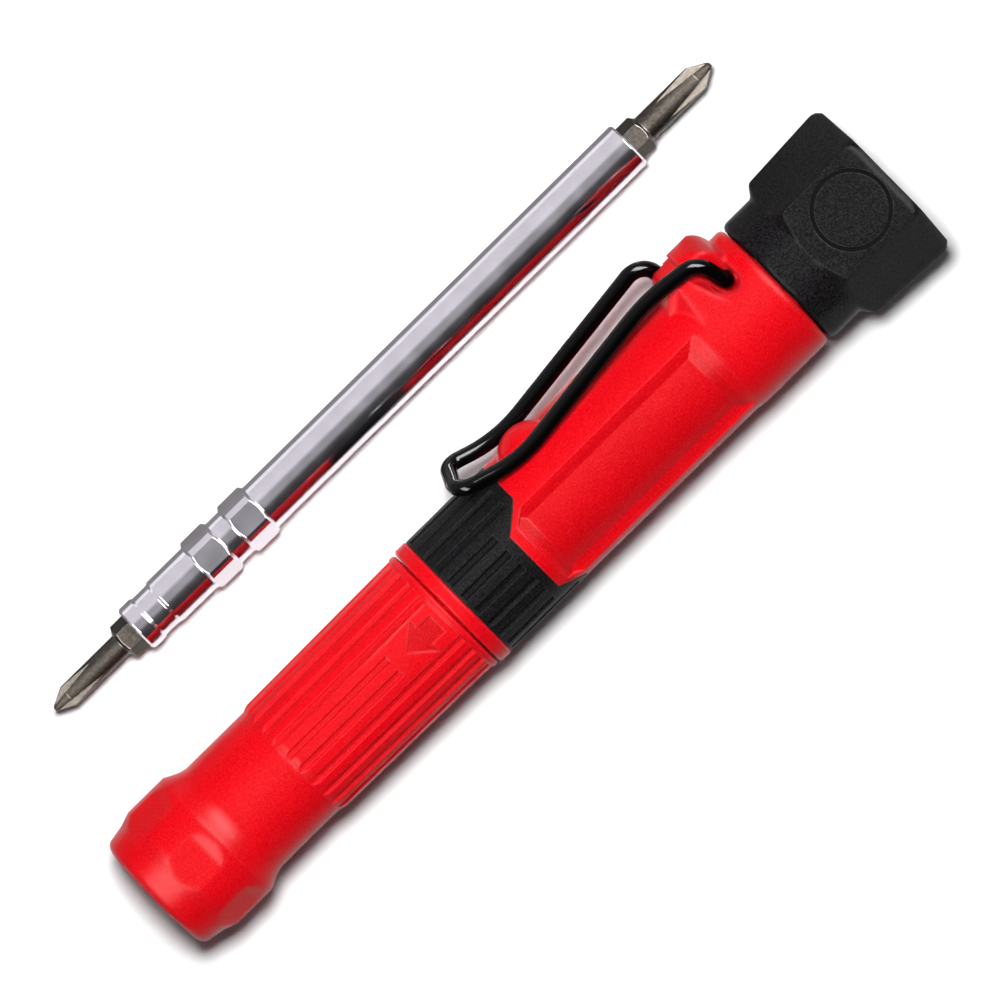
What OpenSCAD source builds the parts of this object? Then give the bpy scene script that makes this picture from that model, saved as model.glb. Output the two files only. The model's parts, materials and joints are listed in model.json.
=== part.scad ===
// Pocket screwdriver: a closed handle case with a wire pocket clip and a hexagonal head, and beside
// it the double-ended shaft that the case carries, lying with a bit in each end.
// The handle is drawn along its own axis, x = 0 at the nose, and then laid down on the table.

/* [Front sleeve] */
// Length of the front sleeve, from the nose to the split line
front_len = 74.1; // [66:0.1:84]
// Largest radius of the nose
nose_r = 14; // [13.4:0.1:15]
// Radius of the nose where its end round starts
nose_end_r = 12.6; // [11.5:0.1:13.2]
// Length of the end round of the nose
nose_round_len = 2.2; // [1:0.1:3]
// Length of the cone in front of the nose's largest radius
nose_cone_len = 5.4; // [4:0.1:8]
// Length of the nose at its largest radius
nose_band_len = 8.8; // [6:0.1:12]
// Length of the flare from the nose down to the neck
nose_flare_len = 4.1; // [3:0.1:6]
// Distance of the nose's six flats from the axis
nose_flat_r = 13.4; // [12.9:0.05:13.8]
// Distance from the nose's end to the end of its flats
nose_flat_end = 13.4; // [11:0.1:14]
// Slope at the end of the flats, in degrees
nose_flat_slope = 16; // [12:1:24]
// Radius of the smooth neck
neck_r = 12.3; // [12:0.05:12.6]
// Length of the smooth neck
neck_len = 14.5; // [8:0.1:18]
// Length of the rise from the neck to the ribs
rib_rise_len = 1.6; // [0.8:0.1:3]
// Radius of the ribs at the neck
rib_front_r = 12.8; // [12.7:0.05:13]
// Radius of the ribs at the split line
rib_rear_r = 13.2; // [13:0.05:13.4]
// Depth of the grooves between the ribs
groove_depth = 0.5; // [0.2:0.05:0.6]
// Width of a groove
groove_w = 1.7; // [1:0.1:2.4]
// Number of grooves round the handle
groove_count = 24; // [16:1:30]
// Width of the smooth bead at the sleeve's rear rim
rim_w = 1.5; // [1:0.1:2.5]
// Radius of that bead
rim_r = 13.45; // [13.3:0.05:13.8]
// Roll of the front sleeve about its axis
front_roll = -3.5; // [-10:0.5:10]

/* [Arrow] */
// Length of the arrow
arrow_len = 7.6; // [5:0.1:9]
// Length of the arrow's head
arrow_head_len = 4.4; // [3:0.1:5]
// Width of the arrow's head
arrow_head_w = 7.5; // [5:0.1:8]
// Width of the arrow's stem
arrow_stem_w = 4; // [2.5:0.1:5]
// Depth of the arrow
arrow_depth = 0.65; // [0.3:0.05:0.75]
// Distance from the arrow's stem to the split line
arrow_back = 2.8; // [2:0.1:4]
// Distance from the arrow's point to the two grooves that stop in front of it
arrow_front_gap = 3.2; // [1:0.1:6]

/* [Drive bush] */
// Radius of the round mouth in the nose
mouth_r = 6.2; // [6:0.05:6.6]
// Length of that mouth
mouth_len = 3; // [2:0.1:5]
// Radius of the drive bush
bush_r = 8; // [7.4:0.1:9]
// Length of the drive bush
bush_len = 21; // [18:0.5:26]
// Lead-in at each end of its hexagon
bush_lead = 0.9; // [0.4:0.1:1.4]
// Clearance across the flats between the shaft's hexagon and the bush
drive_clearance = 0.15; // [0.06:0.01:0.3]
// Wire diameter of the snap ring in the bush
snap_wire = 1.2; // [0.9:0.05:1.5]
// Inner radius of the snap ring
snap_inner_r = 4.9; // [4.8:0.05:5.1]
// Opening of the snap ring
snap_gap_angle = 50; // [20:1:90]
// Radius of the ring that holds the bush in
retainer_r = 8.9; // [8.6:0.1:9.6]
// Thickness of that ring
retainer_len = 2.4; // [1.5:0.1:4]

/* [Spigot joint] */
// Radius of the spigot that the front sleeve slides on
spigot_r = 10.1; // [9.6:0.05:10.2]
// Length of the spigot in front of the split line
spigot_len = 13.8; // [10:0.1:18]
// Length of the collar inside the rear body
collar_in_len = 13.4; // [8:0.1:16]
// Running clearance of the sleeve on the spigot
slide_fit = 0.08; // [0.03:0.01:0.1]
// Number of keys that carry the torque
key_count = 3; // [2:1:6]
// Width of a key
key_w = 3; // [2:0.1:4]
// Height of a key
key_h = 0.9; // [0.5:0.05:1]
// Length of a key
key_len = 8.6; // [5:0.1:9]
// Thickness of the sealing ring
seal_wire = 1.8; // [1.2:0.1:2]
// Gap between the sleeve and the rear body at the split line
split_gap = 0.3; // [0.2:0.05:0.6]

/* [Rear body] */
// Length of the rear body from the split line to the head
body_len = 82.8; // [78:0.1:92]
// Width of the ring at the split line
ring_w = 2.9; // [2:0.1:4]
// Radius of that ring
ring_r = 13.75; // [13.4:0.05:14]
// Radius of the body behind the grip band
body_front_r = 13.5; // [13.3:0.05:13.8]
// Radius of the body in front of its rear collar
body_rear_r = 13.65; // [13.4:0.05:13.9]
// Radius of the rear collar
collar_r = 13.95; // [13.8:0.05:14.2]
// Length of the rear collar
collar_len = 16.2; // [15:0.1:18]
// Length of the soft rise from the body to that collar
collar_rise_len = 2.4; // [1:0.1:4]
// Radius of the bore of the front two thirds of the body
body_bore_r = 10.4; // [10.3:0.05:10.6]
// Across flats of the tail that carries the head
tail_af = 18.6; // [17.6:0.1:20]
// Length of the tail
tail_len = 19.3; // [16:0.1:21]

/* [Grip band] */
// Length of the grip band
band_len = 19.3; // [15:0.1:22]
// Radius of the grip band
band_r = 13.55; // [13.4:0.05:13.7]
// Thickness of the grip band
band_t = 1.35; // [1.1:0.05:1.6]
// Length of the body's tongue that points into the band
tongue_len = 5.2; // [3:0.1:7]
// Width of the tongue at its tip
tongue_tip_w = 13.8; // [10:0.1:16]
// Width of the tongue at its root
tongue_root_w = 20.8; // [18:0.1:22]

/* [Panel] */
// Direction of the panel's middle, from straight up towards -Y
panel_angle = 26; // [10:1:40]
// Distance from the tongue's tip to the panel
panel_gap = 2; // [1:0.1:4]
// Length of the panel
panel_len = 46.8; // [30:0.1:48]
// Width of the panel
panel_w = 18; // [12:0.1:20]
// Depth of the panel's floor
panel_depth = 1.5; // [0.6:0.05:1.6]
// Length of the slope at the panel's front end
panel_front_slope = 2.5; // [1:0.1:4]
// Length of the slope at the panel's rear end
panel_rear_slope = 3.7; // [1:0.1:5]
// Length of the panel's cut corners
panel_corner_len = 3.4; // [1:0.1:5]
// Width of the panel's cut corners
panel_corner_w = 2.1; // [1:0.1:3]

/* [Wire clip] */
// Direction of the clip, from straight up towards +Y
clip_angle = 60; // [50:1:75]
// Wire diameter
wire_d = 3; // [2.4:0.1:3.2]
// Distance of the front foot from the head
foot_back = 6.2; // [5:0.1:7]
// How far the rear foot stands in front of the front foot
foot_stagger = 7; // [5:0.1:8]
// Height of the feet above the handle's axis
foot_h = 10.4; // [10:0.1:11]
// Half the distance between the feet
foot_half_w = 6.4; // [6.2:0.1:6.8]
// How far the feet lean back from the shoulders
foot_lean = 1.8; // [1:0.1:3]
// Height of the front leg's shoulder above the axis
shoulder_h = 18.3; // [18:0.1:19]
// Height of the rear leg's shoulder above the axis
rear_shoulder_h = 19.5; // [19:0.1:20]
// Half the distance between the legs at the shoulders
shoulder_half_w = 6.2; // [6.1:0.1:6.6]
// Height of the crest of the front leg
crest_h = 19.25; // [18.8:0.05:20]
// Distance from the head to the crest
crest_back = 19.2; // [18:0.1:22]
// Half the distance between the legs at the crest
crest_half_w = 5.2; // [5:0.1:6]
// Height of the legs at the pinch
pinch_h = 14.3; // [14.2:0.05:15.5]
// Distance from the grip band to the pinch
pinch_gap = 5.7; // [2:0.1:14]
// Half the distance between the legs at the pinch
pinch_half_w = 5.45; // [5.3:0.05:6]
// Height of the clip's tip
tip_h = 18.2; // [16:0.1:20]
// Length from the pinch to the tip's front corner
tip_len = 12.3; // [8:0.1:14]
// How far the tip's bar is skewed
tip_skew = 2.2; // [0:0.1:3]
// Half the width of the tip
tip_half_w = 4.9; // [4.6:0.1:5.6]
// Depth of the foot holes
foot_hole_len = 2.4; // [1.5:0.1:3]
// Clearance of the wire in its holes
foot_fit = 0.22; // [0.2:0.01:0.3]

/* [Clip boss] */
// Half width of the boss between the feet
boss_half_w = 3.9; // [3.4:0.1:4]
// Height of the boss's front step above the handle's axis
boss_step_h = 17; // [15:0.1:17.4]
// Length of the boss in front of the front foot
boss_len = 11.8; // [10:0.1:13]
// Length of the slope at the boss's front end
boss_rise_len = 3; // [2:0.1:4]
// Height of the boss's round back
boss_h = 18.8; // [17.6:0.1:19]
// Half width of the boss beside the feet's pockets
boss_outer_half_w = 4.3; // [4:0.1:4.4]
// Radius of the round back
boss_round_r = 5.9; // [5:0.1:6.4]
// Distance from the round back's middle to the front foot
boss_round_back = 3; // [2:0.1:4]
// Length of the round back in front of its middle
boss_round_front = 1.6; // [1:0.1:2.4]
// Radius of the crown across the round back
boss_crown_r = 9; // [7:0.5:12]
// Radius of the round back's upright corners
boss_corner_r = 1.6; // [0.8:0.1:2.4]
// Radius of the pockets that the feet go down in
pocket_r = 2.4; // [2:0.1:2.6]
// Direction of the flat flank beside the boss, from the clip's middle
flank_angle = 52; // [46:1:56]
// Distance from the flank's front edge to the foot behind it
flank_front = 8.6; // [7:0.1:9]
// Distance from the flank's rear edge to that foot
flank_rear = 1.9; // [1.4:0.1:2.6]
// How much the flank's front edge leans back towards the boss, in degrees
flank_front_lean = 8; // [0:1:12]
// How much its rear edge leans forward towards the boss, in degrees
flank_rear_lean = 19; // [12:1:22]
// Slope of the facet in front of the flank, in degrees
flank_front_slope = 36; // [25:1:50]
// Slope behind the flank, in degrees
flank_rear_slope = 62; // [45:1:75]
// Height of the rest dome
dome_h = 16.4; // [15:0.1:17]
// Radius of the rest dome
dome_r = 6.6; // [5:0.1:9]
// Distance from the clip's pinch to the middle of the rest dome
dome_gap = 2.2; // [1:0.1:4]
// Half width of the rest dome
dome_half_w = 3.5; // [2.5:0.1:3.6]

/* [Storage tube] */
// Inner radius of the storage tube
store_r = 5.9; // [5.8:0.05:6.2]
// Wall of the storage tube
store_wall = 1.2; // [0.8:0.05:1.4]
// Clearance round the storage tube
store_fit = 0.05; // [0.03:0.01:0.1]
// How far the storage tube stops short of the spigot's end
store_back = 1.6; // [0.5:0.1:4]
// Thickness of the bumper at its bottom
bumper_t = 1.6; // [1:0.1:3]

/* [Head] */
// Length of the head
head_len = 27.3; // [24:0.1:32]
// Gap between the rear body and the head
head_gap = 0.3; // [0.2:0.05:0.6]
// Radius of the head's round collar
head_collar_r = 14.1; // [13.8:0.05:14.4]
// Length of the round collar
head_collar_len = 7.3; // [5:0.1:9]
// Length of the slope up to the hexagon
head_slope_len = 2.5; // [1.5:0.1:4]
// Corner radius at the slope's end, measured from the axis
head_hex_r = 16.35; // [15.8:0.05:16.8]
// Corner radius at the head's end, measured from the axis
head_end_r = 17.2; // [16.9:0.05:17.8]
// Distance of the flats from the axis at the head's end
head_flat_r = 15.05; // [14.7:0.05:15.4]
// Taper of the flats
head_taper = 2.8; // [1:0.1:3.2]
// Chamfer along the axis at the head's end
head_chamfer_len = 1.6; // [0.8:0.1:2.4]
// Depth of that chamfer
head_chamfer_depth = 0.6; // [0.3:0.05:1]
// Radius of the ring groove on the upper flat
mark_r = 7.45; // [5:0.05:7.8]
// Width of that groove
mark_w = 0.75; // [0.4:0.05:1.2]
// Depth of that groove
mark_depth = 0.4; // [0.2:0.05:0.6]
// Distance from the head's end to the groove's centre
mark_back = 9; // [8.4:0.1:9.4]
// Across flats of the recess in the head's end
recess_af = 17; // [14:0.1:19]
// Thickness of the head's floor under the recess
head_web = 2.7; // [2:0.1:4]

/* [Head screw] */
// Radius of the screw's thread
screw_r = 1.95; // [1.5:0.05:2.4]
// Radius of the screw's head
screw_head_r = 3.6; // [3:0.1:4.5]
// Height of the screw's head
screw_head_h = 2.4; // [1.6:0.1:3]
// Length of the screw below its head
screw_len = 8.4; // [7:0.1:9]
// Clearance round the screw
screw_fit = 0.05; // [0.03:0.01:0.1]
// Radius of the washer
washer_r = 4.5; // [3.8:0.1:5.5]
// Thickness of the washer
washer_t = 0.8; // [0.5:0.1:1.2]
// Radius of the threaded insert
insert_r = 3; // [2.6:0.1:3.6]
// Length of the threaded insert
insert_len = 5.6; // [4.5:0.1:6]

/* [Shaft] */
// Length of the shaft without its bits
shaft_len = 125.2; // [110:0.1:128]
// Distance between the shaft and the handle, axis to axis
shaft_gap_y = 36.55; // [26:0.1:60]
// Distance of the shaft's front end behind the nose
shaft_x = 31.3; // [22:0.1:40]
// Radius of the shaft
shaft_r = 4.8; // [4.6:0.05:4.9]
// Radius of the neck near the front end
shaft_neck_r = 4.48; // [4.3:0.01:4.6]
// Length of the front end before that neck
shaft_lip_len = 2.9; // [2:0.1:4]
// Length of that neck with its slopes
shaft_neck_len = 4.5; // [3:0.1:6]
// Length of a slope on the shaft
shaft_slope = 0.6; // [0.3:0.05:0.9]
// Across flats of the two drive hexagons
hex_af = 10.2; // [10:0.05:10.4]
// Radius that the hexagons' corners are turned to
hex_corner_r = 5.55; // [5.4:0.01:5.7]
// Length of a drive hexagon
hex_len = 6.25; // [5:0.05:7]
// Length of the groove between the two hexagons
hex_gap = 3.1; // [2.4:0.1:4]
// Distance from the shaft's front end to the first hexagon
hex_x = 16.1; // [12:0.1:20]

/* [Bits] */
// Across flats of the bits' hexagon
bit_af = 6.35; // [6.2:0.01:6.4]
// Clearance across the flats in the shaft's sockets
bit_clearance = 0.15; // [0.06:0.01:0.2]
// Length of a bit's hexagon
bit_hex_len = 20.4; // [18:0.1:22]
// How far the front bit's hexagon stands out
bit_1_out = 3.8; // [3:0.1:6]
// How far the rear bit's hexagon stands out
bit_2_out = 3.9; // [3:0.1:6]
// Length of a bit's blade in front of its hexagon
blade_len = 16.7; // [14:0.1:18]
// Radius of the front bit's blade
bit_1_r = 2.25; // [2:0.05:2.5]
// Radius of the rear bit's blade
bit_2_r = 2.65; // [2.4:0.05:2.8]
// Length of the cross flutes on the front bit
flute_1_len = 10.4; // [7:0.1:12]
// Length of the cross flutes on the rear bit
flute_2_len = 12; // [8:0.1:13]
// Length of the front bit's point
point_1_len = 3.5; // [2.5:0.1:4.5]
// Length of the rear bit's point
point_2_len = 3.7; // [2.5:0.1:4.5]
// Thickness of the hidden flat blades
flat_t = 0.9; // [0.6:0.05:1.2]
// Thickness of the retaining rings in the shaft
bit_ring_t = 0.4; // [0.3:0.05:0.45]
// Width of those rings
bit_ring_w = 0.9; // [0.6:0.05:1.4]
// Distance of those rings from the shaft's ends
bit_ring_x = 9.5; // [8.4:0.1:11]
// Opening of those rings
bit_ring_gap_angle = 40; // [20:1:80]

/* [Hidden] */
$fn = 72;

// Colours
red = [0.86, 0.02, 0.05];
black = [0.09, 0.085, 0.09];
gloss_black = [0.03, 0.03, 0.03];
steel = [0.72, 0.72, 0.74];
bit_steel = [0.33, 0.3, 0.28];
brass = [0.75, 0.6, 0.25];

// Shared small sizes
overrun = 1;
edge = 0.4;
soft_edge = 0.9;
hex_side = 6;

// Stations along the handle's axis, from the nose
nose_cone_x = nose_round_len;
nose_band_x = nose_cone_x + nose_cone_len;
nose_flare_x = nose_band_x + nose_band_len;
neck_x = nose_flare_x + nose_flare_len;
rib_x = neck_x + neck_len;
rim_x = front_len - rim_w;
body_x = front_len + split_gap;
band_x = body_x + ring_w;
band_end_x = band_x + band_len;
body_end_x = body_x + body_len;
collar_x = body_end_x - collar_len;
head_x = body_end_x + head_gap;
end_x = head_x + head_len;
tail_end_x = body_end_x + tail_len;
spigot_x = body_x - spigot_len;

// Front sleeve inside
bush_x = mouth_len;
retainer_x = bush_x + bush_len;
cavity_x = retainer_x + retainer_len;
sleeve_bore_r = spigot_r + slide_fit;
rib_slope = atan((rib_rear_r - rib_front_r) / (rim_x - rib_x - rib_rise_len));
groove_front_x = rib_x - rib_rise_len;
arrow_x = front_len - arrow_back - arrow_len;
arrow_floor_r = rib_rear_r - arrow_depth;
short_groove_end_x = arrow_x - arrow_front_gap;
groove_pitch = 360 / groove_count;

// Drive bush
drive_af = hex_af + drive_clearance;
snap_x = bush_x + (bush_len - snap_wire) / 2;
snap_groove_r = snap_inner_r + snap_wire + 0.2 * snap_wire;

// Spigot, seal and storage tube
seal_x = spigot_x + store_back + seal_wire / 2;
seal_r = sleeve_bore_r - seal_wire / 2 - slide_fit / 2;
key_r = spigot_r + key_h;
store_outer_r = store_r + store_wall;
well_floor_x = tail_end_x - insert_len - overrun;
bore_step_x = collar_x - 3 * overrun;

// Rear body
panel_x = band_end_x - tongue_len + panel_gap;
panel_end_x = min(panel_x + panel_len, collar_x - edge);
panel_floor_r = body_front_r - panel_depth;
panel_flat_r = sqrt(body_front_r * body_front_r - panel_w * panel_w / 4);

// Wire clip, as points of station, distance across and height above the handle's axis
wire_r = wire_d / 2;
foot_x = head_x - foot_back;
rear_foot_x = foot_x - foot_stagger;
pinch_x = band_end_x + pinch_gap;
crest_x = head_x - crest_back;
pin_end_half_w = boss_half_w - foot_hole_len + edge;
clip_points = [
    [foot_x, -pin_end_half_w, foot_h],
    [foot_x, -foot_half_w, foot_h],
    [foot_x - foot_lean, -shoulder_half_w, shoulder_h],
    [crest_x, -crest_half_w, crest_h],
    [pinch_x, -pinch_half_w, pinch_h],
    [pinch_x - tip_len, -tip_half_w, tip_h],
    [pinch_x - tip_len + tip_skew, tip_half_w, tip_h],
    [pinch_x, pinch_half_w, pinch_h],
    [rear_foot_x - foot_lean, shoulder_half_w, rear_shoulder_h],
    [rear_foot_x, foot_half_w, foot_h],
    [rear_foot_x, pin_end_half_w, foot_h],
];
foot_bend = 0.75 * wire_d;
shoulder_bend = 1.3 * wire_d;
crest_bend = 14 * wire_d;
pinch_bend = 8 * wire_d;
bend_overlap = 0.08;
bend_swell = 0.01;
clip_bends = [0, foot_bend, shoulder_bend, crest_bend, pinch_bend, wire_d, wire_d, pinch_bend,
    shoulder_bend, foot_bend, 0];

// Boss
boss_x = foot_x - boss_len;
boss_round_x = foot_x - boss_round_back;
pocket_floor_h = foot_h - wire_r - edge;
foot_lean_angle = atan(foot_lean / (shoulder_h - foot_h));
boss_root_h = store_outer_r + overrun;
flank_sink = 0.05;

// Head
hex_x0 = head_x + head_collar_len;
pocket_len = tail_end_x - head_x;
recess_x = tail_end_x + head_web;
washer_x = recess_x;
screw_x = washer_x + washer_t;
insert_x = tail_end_x - insert_len;

// Resting place: the handle touches the table behind a nose flat's slope and with the head's rim
nose_rest_h = nose_r;
nose_rest_x = nose_flat_end + (nose_r - nose_flat_r) / tan(nose_flat_slope);
head_rest_x = end_x - head_chamfer_len;
head_rest_h = head_flat_r - head_chamfer_len * tan(head_taper);
tilt = atan((head_rest_h - nose_rest_h) / (head_rest_x - nose_rest_x));
rest_lift = nose_rest_h * cos(tilt) - nose_rest_x * sin(tilt);
nose_reach = nose_end_r * sin(tilt) * mouth_r / nose_end_r;
handle_x = -(end_x * cos(tilt) + (head_rest_h - nose_reach) * sin(tilt)) / 2;
handle_y = -(shaft_gap_y + hex_corner_r - head_end_r) / 2;

// Shaft and bits
socket_af = bit_af + bit_clearance;
socket_1_len = bit_hex_len - bit_1_out + edge;
socket_2_len = bit_hex_len - bit_2_out + edge;
blade_bore_r = bit_2_r + bit_clearance;
blade_bore_len = blade_len + edge;
ring_inner_r = bit_af / sqrt(3) + bit_clearance / 3;
ring_groove_r = ring_inner_r + bit_ring_t + bit_clearance / 3;
hex_2_x = hex_x + hex_len + hex_gap;

// A solid turned about the x axis from points of radius and station
module turned(points) {
    rotate([0, 90, 0])
        rotate_extrude()
            polygon(points);
}

// A round bar along x
module bar(x, length, r) {
    translate([x, 0, 0])
        rotate([0, 90, 0])
            cylinder(h = length, r = r);
}

// A hexagonal bar along x with two flats facing up and down
module hex_bar(x, length, across_flats) {
    translate([x, 0, 0])
        rotate([0, 90, 0])
            rotate([0, 0, 180 / hex_side])
                cylinder(h = length, r = across_flats / sqrt(3), $fn = hex_side);
}

// Turns children about the handle's axis, positive towards +Y
module around(angle) {
    rotate([-angle, 0, 0])
        children();
}

// Lays the handle down on the table
module on_table() {
    translate([handle_x, handle_y, rest_lift])
        rotate([0, -tilt, 0])
            children();
}

// Puts the shaft beside the handle
module beside() {
    translate([handle_x + shaft_x, handle_y + shaft_gap_y, hex_af / 2])
        children();
}

// A groove cut along the axis, with sloped sides, from one station to another
module groove(x, length, floor_r, slope = 0) {
    translate([x, 0, floor_r])
        rotate([0, -slope, 0])
            rotate([90, 0, 90])
                linear_extrude(height = length)
                    polygon([
                        [-0.22 * groove_w, 0], [0.22 * groove_w, 0],
                        [0.5 * groove_w, groove_depth], [0.5 * groove_w, 4 * groove_depth],
                        [-0.5 * groove_w, 4 * groove_depth], [-0.5 * groove_w, groove_depth],
                    ]);
}

// The arrow's outline, pointing to the nose
module arrow_outline() {
    polygon([
        [0, 0], [arrow_head_len, arrow_head_w / 2], [arrow_head_len, arrow_stem_w / 2],
        [arrow_len, arrow_stem_w / 2], [arrow_len, -arrow_stem_w / 2],
        [arrow_head_len, -arrow_stem_w / 2], [arrow_head_len, -arrow_head_w / 2],
    ]);
}

// Six flats round the nose, each with a slope at its rear end
module nose_flats() {
    rise = 2 * overrun;
    slope_end_x = nose_flat_end + rise / tan(nose_flat_slope);
    for (i = [0:hex_side - 1])
        around(i * 360 / hex_side)
            rotate([90, 0, 0])
                translate([0, 0, -nose_r])
                    linear_extrude(height = 2 * nose_r)
                        polygon([
                            [-overrun, nose_flat_r], [nose_flat_end, nose_flat_r],
                            [slope_end_x, nose_flat_r + rise], [slope_end_x, 2 * nose_r],
                            [-overrun, 2 * nose_r],
                        ]);
}

module front_sleeve_outer() {
    r1 = nose_end_r - nose_round_len;
    turned(concat(
        [[0, 0], [r1, edge]],
        [for (a = [75:-15:0]) [
            r1 + nose_round_len * cos(a),
            edge + (nose_round_len - edge) * (1 - sin(a)),
        ]],
        [
            [(nose_end_r + nose_r) / 2 - edge / 2, nose_band_x - nose_cone_len / 2],
            [nose_r, nose_band_x], [nose_r, nose_flare_x],
            [nose_r - 0.45 * (nose_r - neck_r), nose_flare_x + 0.35 * nose_flare_len],
            [neck_r + 0.22 * (nose_r - neck_r), nose_flare_x + 0.65 * nose_flare_len],
            [neck_r, neck_x], [neck_r, rib_x],
            [rib_front_r - 0.2 * (rib_front_r - neck_r), rib_x + 0.6 * rib_rise_len],
            [rib_front_r, rib_x + rib_rise_len], [rib_rear_r, rim_x],
            [rim_r, rim_x + edge], [rim_r, front_len - edge], [rim_r - edge, front_len],
            [0, front_len],
        ]
    ));
}

module front_sleeve() {
    color(red)
        on_table()
            around(front_roll)
                difference() {
                    front_sleeve_outer();
                    nose_flats();
                    for (i = [0:groove_count - 1]) {
                        short = i < 2;
                        x1 = short ? short_groove_end_x : rim_x;
                        around((i - 0.5) * groove_pitch)
                            groove(groove_front_x, x1 - groove_front_x, rib_front_r - groove_depth,
                                rib_slope);
                    }
                    difference() {
                        translate([arrow_x, 0, 0])
                            linear_extrude(height = nose_r)
                                arrow_outline();
                        bar(0, front_len, arrow_floor_r);
                    }
                    front_sleeve_inner();
                    for (i = [0:key_count - 1])
                        around(i * 360 / key_count - front_roll)
                            key(front_len - key_len, key_len + overrun, slide_fit);
                }
}

module front_sleeve_inner() {
    turned([
        [0, -overrun], [mouth_r + edge + overrun, -overrun], [mouth_r, edge], [mouth_r, mouth_len],
        [bush_r, mouth_len], [bush_r, retainer_x], [retainer_r, retainer_x], [retainer_r, cavity_x],
        [sleeve_bore_r, cavity_x + sleeve_bore_r - retainer_r],
        [sleeve_bore_r, front_len + overrun], [0, front_len + overrun],
    ]);
}

// One key of the spigot joint, enlarged by a clearance for its slot
module key(x, length, clearance) {
    translate([x, -key_w / 2 - clearance, 0])
        cube([length, key_w + 2 * clearance, key_r + clearance]);
}

module drive_bush() {
    color(steel)
        on_table()
            around(front_roll)
                difference() {
                    turned([
                        [0, bush_x], [bush_r - edge, bush_x], [bush_r, bush_x + edge],
                        [bush_r, retainer_x - edge], [bush_r - edge, retainer_x], [0, retainer_x],
                    ]);
                    hex_bar(bush_x - overrun, bush_len + 2 * overrun, drive_af);
                    turned([
                        [0, bush_x - overrun], [mouth_r, bush_x - overrun], [mouth_r, bush_x],
                        [mouth_r - bush_lead, bush_x + bush_lead], [0, bush_x + bush_lead],
                    ]);
                    bar(snap_x - snap_wire * 0.15, snap_wire * 1.3, snap_groove_r);
                }
}

// A round wire ring about the x axis, open at its side
module wire_ring(x, mid_r, wire, gap_angle) {
    translate([x, 0, 0])
        rotate([0, 90, 0])
            rotate([0, 0, gap_angle / 2])
                rotate_extrude(angle = 360 - gap_angle)
                    translate([mid_r, 0])
                        circle(d = wire, $fn = 24);
}

module shaft_snap_ring() {
    color(steel)
        on_table()
            wire_ring(snap_x + snap_wire / 2, snap_inner_r + snap_wire / 2, snap_wire,
                snap_gap_angle);
}

module bush_retainer() {
    color(steel)
        on_table()
            difference() {
                bar(retainer_x, retainer_len, retainer_r);
                turned([
                    [0, retainer_x - overrun], [mouth_r, retainer_x - overrun],
                    [mouth_r, retainer_x + retainer_len / 2],
                    [mouth_r + bush_lead, retainer_x + retainer_len],
                    [mouth_r + bush_lead, cavity_x + overrun], [0, cavity_x + overrun],
                ]);
            }
}

// The tongue of the rear body that points into the grip band
module tongue_region() {
    widening = (tongue_root_w - tongue_tip_w) / 2 / tongue_len;
    root = tongue_root_w / 2 + overrun * widening;
    around(-panel_angle)
        linear_extrude(height = collar_r + overrun)
            polygon([
                [band_end_x - tongue_len, -tongue_tip_w / 2],
                [band_end_x - tongue_len, tongue_tip_w / 2],
                [band_end_x + overrun, root], [band_end_x + overrun, -root],
            ]);
}

// What is taken off the rear body for the panel: flat sides and a floor that follows the body
module panel_cut() {
    difference() {
        around(-panel_angle)
            translate([0, 0, panel_flat_r])
                linear_extrude(height = collar_r)
                    polygon([
                        [panel_x, panel_corner_w - panel_w / 2], [panel_x, panel_w / 2 - panel_corner_w],
                        [panel_x + panel_corner_len, panel_w / 2], [panel_end_x, panel_w / 2],
                        [panel_end_x, -panel_w / 2], [panel_x + panel_corner_len, -panel_w / 2],
                    ]);
        turned([
            [0, panel_x - overrun], [body_front_r + edge, panel_x - overrun],
            [body_front_r + edge, panel_x - edge * panel_front_slope / panel_depth],
            [panel_floor_r, panel_x + panel_front_slope],
            [panel_floor_r, panel_end_x - panel_rear_slope],
            [collar_r, panel_end_x + edge], [collar_r, panel_end_x + overrun],
            [0, panel_end_x + overrun],
        ]);
    }
}

// The front step of the boss, a low block with a sloped front end
module boss_step() {
    rotate([90, 0, 0])
        translate([0, 0, -boss_outer_half_w])
            linear_extrude(height = 2 * boss_outer_half_w)
                polygon([
                    [boss_x, boss_root_h], [boss_x, body_rear_r - edge],
                    [boss_x + boss_rise_len - edge, boss_step_h - edge],
                    [boss_x + boss_rise_len + edge, boss_step_h],
                    [boss_round_x, boss_step_h], [boss_round_x, boss_root_h],
                ]);
}

// The round back of the boss: rounded along the handle, crowned across it, with round corners
module boss_back() {
    half_w = boss_outer_half_w;
    corner_x = boss_round_x + boss_round_r - boss_corner_r;
    intersection() {
        translate([boss_round_x, 0, boss_h - boss_round_r])
            union() {
                rotate([90, 0, 0])
                    cylinder(h = 4 * half_w, r = boss_round_r, center = true);
                translate([-boss_round_r, -2 * half_w, -boss_h])
                    cube([2 * boss_round_r, 4 * half_w, boss_h]);
            }
        translate([0, 0, boss_h - boss_crown_r])
            union() {
                bar(boss_x, head_x - boss_x, boss_crown_r);
                translate([boss_x, -boss_crown_r, -boss_h])
                    cube([head_x - boss_x, 2 * boss_crown_r, boss_h]);
            }
        translate([0, 0, boss_root_h])
            linear_extrude(height = boss_h)
                union() {
                    translate([boss_round_x - boss_round_front, -half_w])
                        square([corner_x - boss_round_x + boss_round_front, 2 * half_w]);
                    translate([corner_x, boss_corner_r - half_w])
                        square([boss_corner_r, 2 * (half_w - boss_corner_r)]);
                    for (y = [boss_corner_r - half_w, half_w - boss_corner_r])
                        translate([corner_x, y])
                            circle(r = boss_corner_r);
                }
    }
}

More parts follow.
